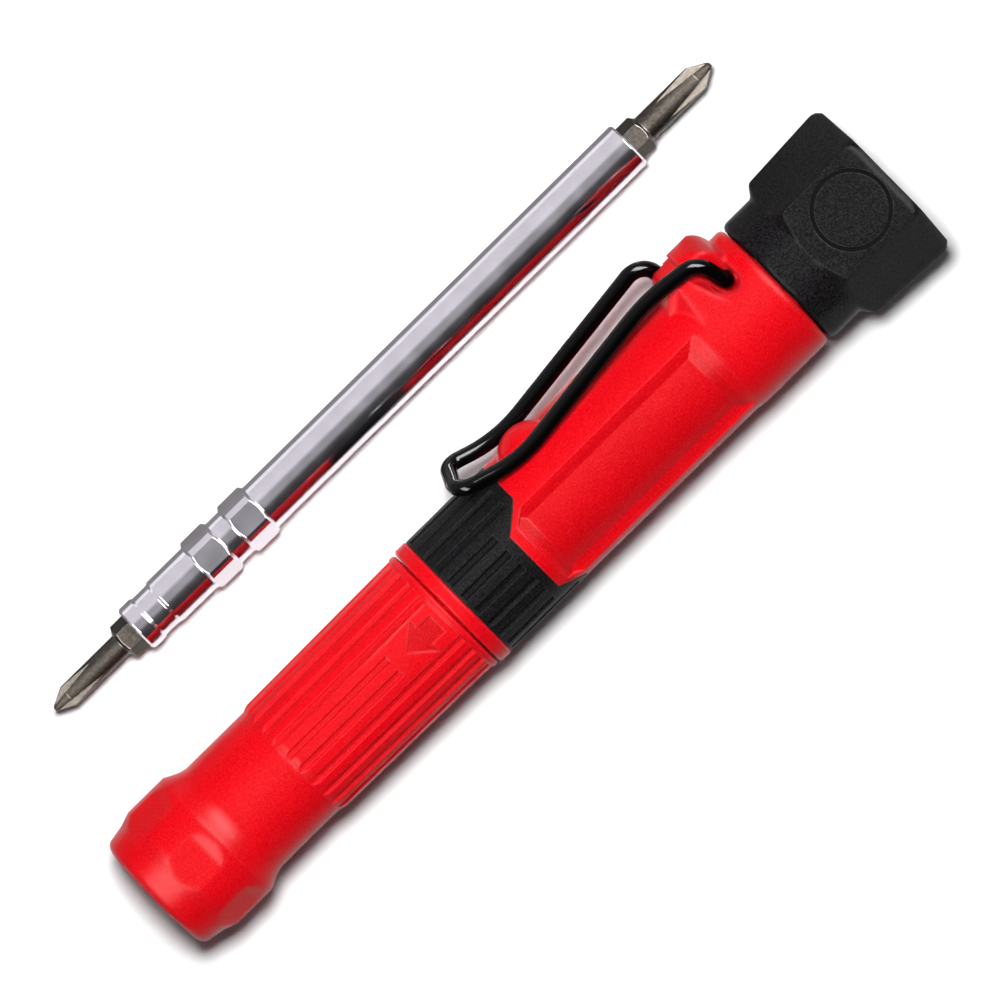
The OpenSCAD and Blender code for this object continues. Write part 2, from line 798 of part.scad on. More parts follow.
// All that lies below a plane through a line across the handle, leaned about the upright and sloped
module below_slope(x, h, lean, slope) {
    span = 2 * collar_r;
    translate([x, 0, h])
        rotate([0, 0, lean])
            rotate([0, slope, 0])
                translate([-span, -span, -span])
                    cube([2 * span, 2 * span, span]);
}

// The flat flank that runs down from the boss in front of the front foot, at a tangent to the body
module flank() {
    top = collar_r - flank_sink;
    intersection() {
        around(clip_angle - flank_angle)
            intersection() {
                translate([foot_x - 2 * boss_len, 0, boss_root_h])
                    cube([2 * boss_len, collar_r, top - boss_root_h]);
                below_slope(foot_x - flank_front, top, -flank_front_lean, -flank_front_slope);
                below_slope(foot_x - flank_rear, top, flank_rear_lean, flank_rear_slope);
            }
        around(clip_angle)
            translate([foot_x - 2 * boss_len, -collar_r, 0])
                cube([2 * boss_len, collar_r - boss_half_w, boss_step_h - flank_sink]);
    }
}

module rest_dome() {
    around(clip_angle)
        intersection() {
            translate([pinch_x + dome_gap, 0, dome_h - dome_r])
                sphere(r = dome_r);
            translate([pinch_x + dome_gap - dome_r, -dome_half_w, dome_h - dome_r])
                cube([2 * dome_r, 2 * dome_half_w, dome_r]);
        }
}

// The leaning pocket and the hole for one foot of the clip, side is -1 or 1
module foot_cut(x, side) {
    around(clip_angle)
        translate([x, 0, foot_h]) {
            rotate([0, -foot_lean_angle, 0])
                translate([0, 0, pocket_floor_h - foot_h]) {
                    translate([0, side * (foot_half_w + edge), 0])
                        cylinder(h = collar_r, r = pocket_r);
                    translate([-pocket_r, side > 0 ? boss_half_w : -foot_half_w - edge, 0])
                        cube([2 * pocket_r, foot_half_w + edge - boss_half_w, collar_r]);
                }
            translate([0, side * (boss_half_w + overrun), 0])
                rotate([side * 90, 0, 0])
                    cylinder(h = foot_hole_len + overrun, r = wire_r + foot_fit);
        }
}

module rear_body_outer() {
    turned([
        [0, body_x], [ring_r - edge, body_x], [ring_r, body_x + edge], [ring_r, band_x - edge],
        [ring_r - edge, band_x],
        [body_front_r, band_x], [body_front_r, band_end_x],
        [body_rear_r, collar_x - collar_rise_len + edge], [collar_r, collar_x + edge],
        [collar_r, body_end_x - soft_edge],
        [collar_r - 0.3 * soft_edge, body_end_x - 0.3 * soft_edge],
        [collar_r - soft_edge, body_end_x], [0, body_end_x],
    ]);
    hex_bar(body_end_x - overrun, tail_len + overrun, tail_af);
}

// The space of the grip band: a ring round the body, less the tongue
module band_region(outer_r) {
    difference() {
        bar(band_x, band_len, outer_r);
        bar(band_x - overrun, band_len + 2 * overrun, band_r - band_t);
        tongue_region();
    }
}

module rear_body() {
    color(red)
        on_table()
            difference() {
                union() {
                    difference() {
                        rear_body_outer();
                        band_region(ring_r + overrun);
                        panel_cut();
                    }
                    around(clip_angle) {
                        boss_step();
                        boss_back();
                    }
                    flank();
                    rest_dome();
                }
                turned([
                    [0, body_x - overrun], [body_bore_r, body_x - overrun],
                    [body_bore_r, bore_step_x - body_bore_r + store_outer_r],
                    [store_outer_r + store_fit, bore_step_x],
                    [store_outer_r + store_fit, well_floor_x], [0, well_floor_x],
                ]);
                bar(insert_x, insert_len + overrun, insert_r);
                foot_cut(foot_x, -1);
                foot_cut(rear_foot_x, 1);
            }
}

module grip_band() {
    color(black)
        on_table()
            difference() {
                band_region(band_r);
                for (i = [0:groove_count - 1]) {
                    angle = front_roll + i * groove_pitch;
                    off_panel = abs((angle + panel_angle + 180) % 360 - 180);
                    in_tongue = off_panel < asin(tongue_root_w / 2 / band_r);
                    groove_end = band_end_x - (in_tongue ? tongue_len : 0) - 2 * overrun;
                    around(angle)
                        groove(band_x + edge, groove_end - band_x - edge, band_r - groove_depth);
                }
            }
}

module spigot_collar() {
    color(red)
        on_table()
            difference() {
                union() {
                    turned([
                        [0, spigot_x], [spigot_r - edge, spigot_x], [spigot_r, spigot_x + edge],
                        [spigot_r, body_x], [body_bore_r, body_x],
                        [body_bore_r, body_x + collar_in_len], [0, body_x + collar_in_len],
                    ]);
                    for (i = [0:key_count - 1])
                        around(i * 360 / key_count)
                            key(front_len - key_len + edge, key_len - edge + split_gap, 0);
                }
                bar(spigot_x - overrun, spigot_len + collar_in_len + 2 * overrun,
                    store_outer_r + store_fit);
                difference() {
                    bar(seal_x - seal_wire / 2, seal_wire, spigot_r + overrun);
                    bar(seal_x - seal_wire, 2 * seal_wire, seal_r - seal_wire / 2);
                }
            }
}

module seal_ring() {
    color(black)
        on_table()
            translate([seal_x, 0, 0])
                rotate([0, 90, 0])
                    rotate_extrude()
                        translate([seal_r, 0])
                            circle(d = seal_wire, $fn = 24);
}

module storage_tube() {
    x0 = spigot_x + store_back;
    color(black)
        on_table()
            difference() {
                bar(x0, well_floor_x - x0, store_outer_r);
                bar(x0 - overrun, well_floor_x - x0 + 2 * overrun, store_r);
            }
}

module shaft_bumper() {
    color(black)
        on_table()
            bar(well_floor_x - bumper_t, bumper_t, store_r - store_fit);
}

module tail_insert() {
    color(brass)
        on_table()
            difference() {
                bar(insert_x, insert_len, insert_r);
                bar(insert_x - overrun, insert_len + 2 * overrun, screw_r + screw_fit);
            }
}

// One flat of the head and its chamfer, cut as planes that lean with the taper
module head_flat_cut() {
    translate([end_x, 0, head_flat_r])
        rotate([0, -head_taper, 0])
            translate([-2 * head_len, -head_end_r, 0])
                cube([3 * head_len, 2 * head_end_r, head_end_r]);
    translate([head_rest_x, 0, head_rest_h])
        rotate([0, atan(head_chamfer_depth / head_chamfer_len) , 0])
            translate([0, -head_end_r, 0])
                cube([head_len, 2 * head_end_r, head_end_r]);
}

module hex_head() {
    slope_h = head_hex_r - head_collar_r;
    color(black)
        on_table()
            difference() {
                turned([
                    [0, head_x], [head_collar_r - soft_edge, head_x],
                    [head_collar_r - 0.3 * soft_edge, head_x + 0.3 * soft_edge],
                    [head_collar_r, head_x + soft_edge], [head_collar_r, hex_x0 - 0.3 * head_slope_len],
                    [head_collar_r + 0.12 * slope_h, hex_x0 + 0.15 * head_slope_len],
                    [head_collar_r + 0.85 * slope_h, hex_x0 + 0.8 * head_slope_len],
                    [head_hex_r, hex_x0 + 1.2 * head_slope_len],
                    [head_end_r, end_x - head_chamfer_len * 1.4],
                    [head_end_r - 0.35 * head_chamfer_len, end_x - 0.5 * head_chamfer_len],
                    [head_end_r - 0.9 * head_chamfer_len, end_x], [0, end_x],
                ]);
                for (i = [0:hex_side - 1])
                    around(i * 360 / hex_side)
                        head_flat_cut();
                hex_bar(head_x - overrun, pocket_len + overrun, tail_af + 2 * store_fit);
                hex_bar(recess_x, head_len, recess_af);
                bar(tail_end_x - overrun, head_web + 2 * overrun, screw_r + 2 * screw_fit);
                translate([end_x - mark_back, 0, head_flat_r - mark_back * tan(head_taper)])
                    rotate([0, -head_taper, 0])
                        translate([0, 0, -mark_depth])
                            difference() {
                                cylinder(h = mark_depth + overrun, r = mark_r);
                                translate([0, 0, -overrun])
                                    cylinder(h = mark_depth + 3 * overrun, r = mark_r - mark_w);
                            }
            }
}

module head_washer() {
    color(steel)
        on_table()
            difference() {
                bar(washer_x, washer_t, washer_r);
                bar(washer_x - overrun, washer_t + 2 * overrun, screw_r + 2 * screw_fit);
            }
}

module head_screw() {
    color(steel)
        on_table()
            difference() {
                turned([
                    [0, screw_x - screw_len], [screw_r - edge, screw_x - screw_len],
                    [screw_r, screw_x - screw_len + edge], [screw_r, screw_x],
                    [screw_head_r, screw_x], [screw_head_r, screw_x + 0.5 * screw_head_h],
                    [0.85 * screw_head_r, screw_x + 0.85 * screw_head_h],
                    [0.5 * screw_head_r, screw_x + screw_head_h], [0, screw_x + screw_head_h],
                ]);
                for (a = [0, 90])
                    rotate([a, 0, 0])
                        translate([screw_x + 0.35 * screw_head_h, -0.5 * screw_head_r,
                            -0.12 * screw_head_r])
                            cube([screw_head_h, screw_head_r, 0.24 * screw_head_r]);
            }
}

function unit(v) = v / norm(v);

// Length that a bend of radius r takes off each run at point i of a path
function bend_reach(points, bends, i) =
    bends[i] == 0 ? 0 :
    let(d0 = unit(points[i] - points[i - 1]), d1 = unit(points[i + 1] - points[i]))
    bends[i] * tan(acos(d0 * d1) / 2);

// A straight run of wire between two points
module wire_run(p, q, r) {
    d = q - p;
    translate(p)
        rotate([0, acos(d.z / norm(d)), atan2(d.y, d.x)])
            cylinder(h = norm(d), r = r);
}

// A bend that starts at p along d0 and ends along d1
module wire_bend(p, d0, d1, bend_r, r) {
    n = unit(cross(d0, d1));
    c = p + bend_r * cross(n, d0);
    e = (p - c) / bend_r;
    multmatrix([
        [e.x, d0.x, n.x, c.x],
        [e.y, d0.y, n.y, c.y],
        [e.z, d0.z, n.z, c.z],
        [0, 0, 0, 1],
    ])
        rotate_extrude(angle = acos(d0 * d1))
            translate([bend_r, 0])
                circle(r = r);
}

// A bent wire along a path with a bend radius at each inner point
module bent_wire(points, bends, r) {
    for (i = [0:len(points) - 2]) {
        d = unit(points[i + 1] - points[i]);
        start = bend_reach(points, bends, i) - (i > 0 ? bend_overlap : 0);
        end = bend_reach(points, bends, i + 1) - (i < len(points) - 2 ? bend_overlap : 0);
        wire_run(points[i] + start * d, points[i + 1] - end * d, r);
    }
    for (i = [1:len(points) - 2]) {
        d0 = unit(points[i] - points[i - 1]);
        d1 = unit(points[i + 1] - points[i]);
        wire_bend(points[i] - bend_reach(points, bends, i) * d0, d0, d1, bends[i], r + bend_swell);
    }
}

module wire_clip() {
    color(gloss_black)
        on_table()
            around(clip_angle)
                bent_wire(clip_points, clip_bends, wire_r);
}

// One drive hexagon of the shaft with its turned ends
module drive_hex(x) {
    intersection() {
        turned([
            [0, x], [shaft_r, x], [hex_corner_r, x + shaft_slope],
            [hex_corner_r, x + hex_len - shaft_slope], [shaft_r, x + hex_len], [0, x + hex_len],
        ]);
        hex_bar(x, hex_len, hex_af);
    }
}

module shaft_tube() {
    neck_end = shaft_lip_len + shaft_neck_len;
    color(steel)
        beside()
            difference() {
                union() {
                    turned([
                        [0, 0], [shaft_r - edge, 0], [shaft_r, edge], [shaft_r, shaft_lip_len],
                        [shaft_neck_r, shaft_lip_len + shaft_slope],
                        [shaft_neck_r, neck_end - shaft_slope], [shaft_r, neck_end],
                        [shaft_r, shaft_len - edge], [shaft_r - edge, shaft_len], [0, shaft_len],
                    ]);
                    drive_hex(hex_x);
                    drive_hex(hex_2_x);
                }
                hex_bar(-overrun, socket_1_len + overrun, socket_af);
                hex_bar(shaft_len - socket_2_len, socket_2_len + overrun, socket_af);
                bar(-overrun, socket_1_len + blade_bore_len + overrun, blade_bore_r);
                bar(shaft_len - socket_2_len - blade_bore_len,
                    socket_2_len + blade_bore_len + overrun, blade_bore_r);
                bar(bit_ring_x - bit_clearance / 2, bit_ring_w + bit_clearance, ring_groove_r);
                bar(shaft_len - bit_ring_x - bit_ring_w - bit_clearance / 2,
                    bit_ring_w + bit_clearance, ring_groove_r);
            }
}

module bit_ring(x) {
    color(steel)
        beside()
            translate([x, 0, 0])
                rotate([0, 90, 0])
                    rotate([0, 0, bit_ring_gap_angle / 2])
                        rotate_extrude(angle = 360 - bit_ring_gap_angle)
                            translate([ring_inner_r, 0])
                                square([bit_ring_t, bit_ring_w]);
}

module bit_ring_1() {
    bit_ring(bit_ring_x);
}

module bit_ring_2() {
    bit_ring(shaft_len - bit_ring_x - bit_ring_w);
}

// A double-ended bit along +x: a hidden flat blade, the hexagon from x = 0, a cross point in front
module bit(r, flute_len, point_len) {
    tip_x = bit_hex_len + blade_len;
    root_r = 0.3 * r;
    flute_angle = atan((r - root_r) / flute_len);
    intersection() {
        hex_bar(0, bit_hex_len, bit_af);
        turned([
            [0, 0], [r, 0], [bit_af / sqrt(3), 2 * edge],
            [bit_af / sqrt(3), bit_hex_len - 2 * edge], [r, bit_hex_len], [0, bit_hex_len],
        ]);
    }
    difference() {
        turned([
            [0, bit_hex_len - overrun], [r, bit_hex_len - overrun], [r, tip_x - point_len],
            [0.28 * r, tip_x - 0.1 * point_len], [0.16 * r, tip_x], [0, tip_x],
        ]);
        for (i = [0:3])
            rotate([90 * (i + 0.5), 0, 0])
                translate([tip_x, 0, root_r])
                    rotate([0, flute_angle, 0])
                        rotate([45, 0, 0])
                            translate([-2 * flute_len, 0, 0])
                                cube([3 * flute_len, 2 * r, 2 * r]);
    }
    intersection() {
        bar(-blade_len, blade_len + overrun, r);
        union() {
            bar(-0.45 * blade_len, 0.45 * blade_len + overrun, r);
            translate([-blade_len, -r, -flat_t / 2])
                cube([blade_len, 2 * r, flat_t]);
            translate([-0.45 * blade_len, 0, 0])
                rotate([90, 0, 0])
                    linear_extrude(height = 2 * r, center = true)
                        polygon([[0, r], [0, -r], [-0.4 * blade_len, -flat_t / 2],
                            [-0.4 * blade_len, flat_t / 2]]);
        }
    }
}

module bit_1() {
    color(bit_steel)
        beside()
            translate([bit_hex_len - bit_1_out, 0, 0])
                mirror([1, 0, 0])
                    bit(bit_1_r, flute_1_len, point_1_len);
}

module bit_2() {
    color(bit_steel)
        beside()
            translate([shaft_len - bit_hex_len + bit_2_out, 0, 0])
                bit(bit_2_r, flute_2_len, point_2_len);
}

front_sleeve();
drive_bush();
shaft_snap_ring();
bush_retainer();
rear_body();
grip_band();
spigot_collar();
seal_ring();
storage_tube();
shaft_bumper();
tail_insert();
hex_head();
head_washer();
head_screw();
wire_clip();
shaft_tube();
bit_1();
bit_2();
bit_ring_1();
bit_ring_2();
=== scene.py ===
import json
import math

import bmesh
import bpy
from mathutils import Matrix, Vector


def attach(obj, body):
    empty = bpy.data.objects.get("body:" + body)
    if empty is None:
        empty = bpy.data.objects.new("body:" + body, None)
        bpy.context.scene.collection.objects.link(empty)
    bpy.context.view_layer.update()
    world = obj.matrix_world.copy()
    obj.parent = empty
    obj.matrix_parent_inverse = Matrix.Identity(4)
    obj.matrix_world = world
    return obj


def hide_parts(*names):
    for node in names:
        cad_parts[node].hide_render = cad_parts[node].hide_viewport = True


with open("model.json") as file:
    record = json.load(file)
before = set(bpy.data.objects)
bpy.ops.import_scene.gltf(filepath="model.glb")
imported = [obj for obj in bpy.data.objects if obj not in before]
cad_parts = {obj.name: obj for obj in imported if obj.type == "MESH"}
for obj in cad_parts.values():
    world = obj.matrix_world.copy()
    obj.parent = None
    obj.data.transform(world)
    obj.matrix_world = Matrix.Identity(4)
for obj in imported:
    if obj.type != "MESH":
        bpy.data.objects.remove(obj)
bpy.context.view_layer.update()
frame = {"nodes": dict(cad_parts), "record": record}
node = frame["nodes"]
mm = 0.001


# Table and room: a white painted board in a studio, under a small lamp almost straight above it, so
# that shadows are tight. Metal and gloss mirror a bright wall on the +Y side and a dark wall on the
# -Y side, and the camera looks straight down.
def piece_from(shape, name):
    """Makes an object at the origin from a finished bmesh."""
    mesh = bpy.data.meshes.new(name)
    shape.to_mesh(mesh)
    shape.free()
    piece = bpy.data.objects.new(name, mesh)
    bpy.context.scene.collection.objects.link(piece)
    return piece


table_size = 3.0
table_gap = 0.02 * mm
table = bmesh.new()
bmesh.ops.create_grid(table, x_segments=1, y_segments=1, size=table_size / 2,
                      matrix=Matrix.Translation((0, 0, -table_gap)))
table_top = piece_from(table, "studio_table")


def new_material(name):
    """A new material: returns its node tree, its Principled shader and the material."""
    material = bpy.data.materials.new(name)
    material.use_nodes = True
    tree = material.node_tree
    return tree, tree.nodes["Principled BSDF"], material


def wire_up(tree, *links):
    """Joins sockets, each link given as (node, output, node, input)."""
    for source, output, target, into in links:
        tree.links.new(source.outputs[output], target.inputs[into])


def maths(tree, operation, second=None, third=None):
    """A node that works on single values, the second and third set where they are given."""
    step = tree.nodes.new("ShaderNodeMath")
    step.operation = operation
    for socket, value in ((1, second), (2, third)):
        if value is not None:
            step.inputs[socket].default_value = value
    return step


def vector_maths(tree, operation):
    """A node that works on places and colours."""
    step = tree.nodes.new("ShaderNodeVectorMath")
    step.operation = operation
    return step


def ramp(tree, start=0, stop=1, low=0, high=1, soft=False):
    """A change from a low to a high value, as what comes in goes from start to stop."""
    change = tree.nodes.new("ShaderNodeMapRange")
    change.interpolation_type = "SMOOTHSTEP" if soft else "LINEAR"
    for socket, value in (("From Min", start), ("From Max", stop), ("To Min", low),
                          ("To Max", high)):
        change.inputs[socket].default_value = value
    return change


def colour_mix(tree, first=None, second=None):
    """A mix of two colours, each set where it is given."""
    mix = tree.nodes.new("ShaderNodeMix")
    mix.data_type = "RGBA"
    for socket, colour in (("A", first), ("B", second)):
        if colour is not None:
            mix.inputs[socket].default_value = colour
    return mix


# The light that the table throws back up is weak, as from paper on a dark bench. The shaft mirrors
# a grey card that lies on its far side, and far from the tool the table fades into the white room.
# Each edge and the fade run softly from one distance to another.
table_white = (0.98, 0.98, 0.985, 1)
bounce_grey = (0.3, 0.3, 0.3, 1)
card_grey = (0.22, 0.21, 0.215, 1)
card_near_edge = (26 * mm, 30 * mm)
card_far_edge = (52 * mm, 44 * mm)
fade_span = (0.2, 1.0)
tree, shader, table_paint = new_material("white table paint")
shader.inputs["Roughness"].default_value = 0.7
shader.inputs["Specular IOR Level"].default_value = 0
dim_bounce = tree.nodes.new("ShaderNodeBsdfDiffuse")
dim_bounce.inputs["Color"].default_value = bounce_grey
seen = tree.nodes.new("ShaderNodeLightPath")
by_bounce = tree.nodes.new("ShaderNodeMixShader")
table_place = tree.nodes.new("ShaderNodeTexCoord")
table_split = tree.nodes.new("ShaderNodeSeparateXYZ")
near_edge = ramp(tree, *card_near_edge)
far_edge = ramp(tree, *card_far_edge)
card = maths(tree, "MULTIPLY")
card_in_gloss = maths(tree, "MULTIPLY")
table_colour = colour_mix(tree, table_white, card_grey)
from_middle = vector_maths(tree, "LENGTH")
fade = ramp(tree, *fade_span)
fade_in_view = maths(tree, "MULTIPLY")
white_glow = tree.nodes.new("ShaderNodeEmission")
table_light = tree.nodes.new("ShaderNodeAddShader")
wire_up(tree, (table_place, "Object", table_split, "Vector"),
        (table_split, "Y", near_edge, "Value"), (table_split, "Y", far_edge, "Value"),
        (near_edge, 0, card, 0), (far_edge, 0, card, 1), (card, 0, card_in_gloss, 0),
        (seen, "Is Glossy Ray", card_in_gloss, 1), (card_in_gloss, 0, table_colour, "Factor"),
        (table_colour, "Result", shader, "Base Color"), (seen, "Is Diffuse Ray", by_bounce, 0),
        (shader, 0, by_bounce, 1), (dim_bounce, 0, by_bounce, 2),
        (table_place, "Object", from_middle, 0), (from_middle, "Value", fade, "Value"),
        (fade, 0, fade_in_view, 0), (seen, "Is Camera Ray", fade_in_view, 1),
        (fade_in_view, 0, white_glow, "Strength"), (by_bounce, 0, table_light, 0),
        (white_glow, 0, table_light, 1), (table_light, 0, tree.nodes["Material Output"], "Surface"))
table_top.data.materials.append(table_paint)

# The room by how far a direction points along y: dark wall, ceiling, bright wall
dark_wall_glow, ceiling_glow, bright_wall_glow = 0.03, 0.3, 0.55
dark_wall_ends, bright_wall_begins = (-0.4, -0.1), (0.25, 0.55)
mirror_tint = (1, 0.97, 1.03)
room_light = (0.06, 0.06, 0.063, 1)
view_white = (1, 1, 1, 1)
room = bpy.data.worlds.new("studio room")
bpy.context.scene.world = room
room.use_nodes = True
tree = room.node_tree
direction = tree.nodes.new("ShaderNodeTexCoord")
split = tree.nodes.new("ShaderNodeSeparateXYZ")
ray = tree.nodes.new("ShaderNodeLightPath")
bright_wall = ramp(tree, *bright_wall_begins, high=bright_wall_glow, soft=True)
dark_wall = ramp(tree, *dark_wall_ends, dark_wall_glow, ceiling_glow, soft=True)
walls_and_ceiling = maths(tree, "ADD")
mirrored = vector_maths(tree, "SCALE")
mirrored.inputs[0].default_value = mirror_tint
in_gloss = colour_mix(tree, first=room_light)
in_view = colour_mix(tree, second=view_white)
wire_up(tree, (direction, "Generated", split, 0), (split, "Y", bright_wall, "Value"),
        (split, "Y", dark_wall, "Value"), (bright_wall, 0, walls_and_ceiling, 0),
        (dark_wall, 0, walls_and_ceiling, 1), (walls_and_ceiling, 0, mirrored, "Scale"),
        (ray, "Is Glossy Ray", in_gloss, "Factor"), (mirrored, 0, in_gloss, "B"),
        (ray, "Is Camera Ray", in_view, "Factor"), (in_gloss, "Result", in_view, "A"),
        (in_view, "Result", tree.nodes["Background"], "Color"))

# The handle's own axis, from the mount on its end face: x runs from the nose to the head
picture_turn = math.radians(44.56)
picture_width = 180 * mm
picture_middle = Vector((94.7 * mm, 7.1 * mm, 0))
camera_height, camera_reach = 1.9, 10
handle_len = 184.8 * mm
end_mark_offset = 12.5 * mm
head_end = frame["record"]["mounts"][0]
lean = math.atan2(head_end["axis"][2], head_end["axis"][0])
end_centre = Vector(head_end["pos_m"]) - Vector((0, end_mark_offset, 0))
nose_centre = end_centre - handle_len * Vector((math.cos(lean), 0, math.sin(lean)))
look_at = nose_centre + picture_middle

camera_data = bpy.data.cameras.new("camera")
camera_data.lens = camera_data.sensor_width * (camera_height - look_at.z) / picture_width
camera_data.clip_end = camera_reach
camera = bpy.data.objects.new("camera", camera_data)
camera.location = (look_at.x, look_at.y, camera_height)
camera.rotation_euler = (0, 0, -picture_turn)
bpy.context.scene.collection.objects.link(camera)
bpy.context.scene.camera = camera


def softbox(name, place, width, height, watts, lights_gloss):
    """A rectangular light that faces the tool, and either lights it or shows in its gloss."""
    lamp = bpy.data.lights.new(name, "AREA")
    lamp.shape = "RECTANGLE"
    lamp.size, lamp.size_y = width, height
    lamp.energy = watts
    light = bpy.data.objects.new(name, lamp)
    light.location = place
    light.rotation_euler = Vector(place).to_track_quat("Z", "Y").to_euler()
    light.visible_glossy = lights_gloss
    light.visible_diffuse = not lights_gloss
    bpy.context.scene.collection.objects.link(light)


softbox("key_softbox", place=(0.06, 0.15, 1.0), width=0.19, height=0.19, watts=11.4,
        lights_gloss=False)
softbox("nose_end_softbox", place=(-0.6, 0.02, 0.85), width=0.9, height=0.4, watts=30,
        lights_gloss=True)
softbox("head_end_softbox", place=(0.62, 0.1, 0.85), width=0.9, height=0.45, watts=50,
        lights_gloss=True)

bpy.context.scene.view_settings.view_transform = "Standard"


# Front sleeve: the front half of the handle, moulded in red nylon with a fine spark-eroded texture.
# Its ribs give grip, its nose has six flats, and it pulls off the rear half towards the nose, as
# its arrow shows.
def skin_group(name, inputs):
    """An empty group for a surface: returns it with its input and output nodes."""
    group = bpy.data.node_groups.new(name, "ShaderNodeTree")
    for socket_name, kind, value in inputs:
        socket = group.interface.new_socket(socket_name, in_out="INPUT",
                                            socket_type="NodeSocket" + kind)
        socket.default_value = value
    for socket_name, kind in (("Colour", "Color"), ("Roughness", "Float"), ("Normal", "Vector")):
        group.interface.new_socket(socket_name, in_out="OUTPUT", socket_type="NodeSocket" + kind)
    return group, group.nodes.new("NodeGroupInput"), group.nodes.new("NodeGroupOutput")


def noise(tree, detail, scale=None):
    """A noise pattern, whose scale is set here or wired in."""
    pattern = tree.nodes.new("ShaderNodeTexNoise")
    pattern.inputs["Detail"].default_value = detail
    if scale is not None:
        pattern.inputs["Scale"].default_value = scale
    return pattern


def soft_bump(tree, distance):
    """A bump on top of normals that are rounded at the edges: returns both nodes, wired."""
    soft_edge = tree.nodes.new("ShaderNodeBevel")
    soft_edge.samples = 6
    bump = tree.nodes.new("ShaderNodeBump")
    bump.inputs["Distance"].default_value = distance
    wire_up(tree, (soft_edge, 0, bump, "Normal"))
    return soft_edge, bump


def moulded_skin_group():
    """Grain, clouding, soft edges with wear and painted highlight, and painted shade in hollows."""
    group, given, out = skin_group("moulded skin", (
        ("Colour", "Color", (0.5, 0.5, 0.5, 1)), ("Edge Wear And Sheen Colour", "Color", (0.6, 0.6, 0.6, 1)),
        ("Grain Scale", "Float", 1500), ("Grain Height", "Float", 0.2),
        ("Edge Radius", "Float", 0.4 * mm), ("Roughness", "Float", 0.4), ("Speckle", "Float", 0.3),
        ("Dust", "Float", 0), ("Painted Hollow Shade", "Float", 0)))
    place = group.nodes.new("ShaderNodeTexCoord")
    grain = noise(group, detail=3)
    grain.inputs["Roughness"].default_value = 0.65
    soft_edge, bump = soft_bump(group, distance=0.1 * mm)
    wire_up(group, (place, "Object", grain, "Vector"), (given, "Grain Scale", grain, "Scale"),
            (given, "Edge Radius", soft_edge, "Radius"), (grain, 0, bump, "Height"),
            (given, "Grain Height", bump, "Strength"), (bump, 0, out, "Normal"))
    # Edges, where the rounded normal leaves the true one, get wear and a painted highlight
    true_normal = group.nodes.new("ShaderNodeNewGeometry")
    agree = vector_maths(group, "DOT_PRODUCT")
    edge = ramp(group, start=0.985, stop=0.9, high=0.8)
    wear_and_sheen_mix = colour_mix(group)
    wire_up(group, (soft_edge, 0, agree, 0), (true_normal, "Normal", agree, 1),
            (agree, "Value", edge, "Value"), (edge, 0, wear_and_sheen_mix, "Factor"),
            (given, "Colour", wear_and_sheen_mix, "A"), (given, "Edge Wear And Sheen Colour", wear_and_sheen_mix, "B"))
    # Broad faint clouding, speckles in the grain, painted shade in hollows, and neutral dust
    cloud = noise(group, detail=2, scale=90)
    cloud_shade = ramp(group, low=0.9, high=1.08)
    off_mean = maths(group, "SUBTRACT", 0.5)
    speckled = maths(group, "MULTIPLY_ADD", third=1)
    clouded = maths(group, "MULTIPLY")
    hollow_shade_factor = maths(group, "MULTIPLY_ADD", -1, 1)
    shade = maths(group, "MULTIPLY")
    shaded = vector_maths(group, "SCALE")
    dusted = vector_maths(group, "MULTIPLY_ADD")
    wire_up(group, (place, "Object", cloud, "Vector"), (cloud, 0, cloud_shade, "Value"),
            (grain, 0, off_mean, 0), (off_mean, 0, speckled, 0), (given, "Speckle", speckled, 1),
            (cloud_shade, 0, clouded, 0), (speckled, 0, clouded, 1), (given, "Painted Hollow Shade", hollow_shade_factor, 0),
            (clouded, 0, shade, 0), (hollow_shade_factor, 0, shade, 1), (wear_and_sheen_mix, "Result", shaded, 0),
            (shade, 0, shaded, "Scale"), (off_mean, 0, dusted, 0), (given, "Dust", dusted, 1),
            (shaded, 0, dusted, 2), (dusted, 0, out, "Colour"))
    # The roughness follows the grain
    rough_range = ramp(group, low=0.8, high=1.2)
    rough = maths(group, "MULTIPLY")
    wire_up(group, (grain, 0, rough_range, "Value"), (rough_range, 0, rough, 0),
            (given, "Roughness", rough, 1), (rough, 0, out, "Roughness"))
    return group


def surface(name, group, values, metallic, specular):
    """A material that takes its colour, roughness and normal from a skin group."""
    tree, shader, material = new_material(name)
    skin = tree.nodes.new("ShaderNodeGroup")
    skin.node_tree = group
    for socket, value in values.items():
        skin.inputs[socket].default_value = value
    shader.inputs["Specular IOR Level"].default_value = specular
    shader.inputs["Metallic"].default_value = metallic
    wire_up(tree, (skin, "Colour", shader, "Base Color"), (skin, "Roughness", shader, "Roughness"),
            (skin, "Normal", shader, "Normal"))
    return material


moulded_skin = moulded_skin_group()


# Each edge colour is partly wear and partly a painted highlight along the edges
def moulded(name, colour, edge_wear_and_sheen, roughness, grain_scale, grain_height, edge_radius,
            specular=0.5, speckle=0.3, dust=0, metallic=0):
    """A grained surface such as moulded plastic or forged steel."""
    return surface(name, moulded_skin, {
        "Colour": (*colour, 1), "Edge Wear And Sheen Colour": (*edge_wear_and_sheen, 1), "Roughness": roughness,
        "Grain Scale": grain_scale, "Grain Height": grain_height, "Edge Radius": edge_radius,
        "Speckle": speckle, "Dust": dust}, metallic, specular)


def finish_in(material, *names):
    """Gives CAD nodes their finish."""
    for name in names:
        mesh = node[name].data
        mesh.materials.clear()
        mesh.materials.append(material)
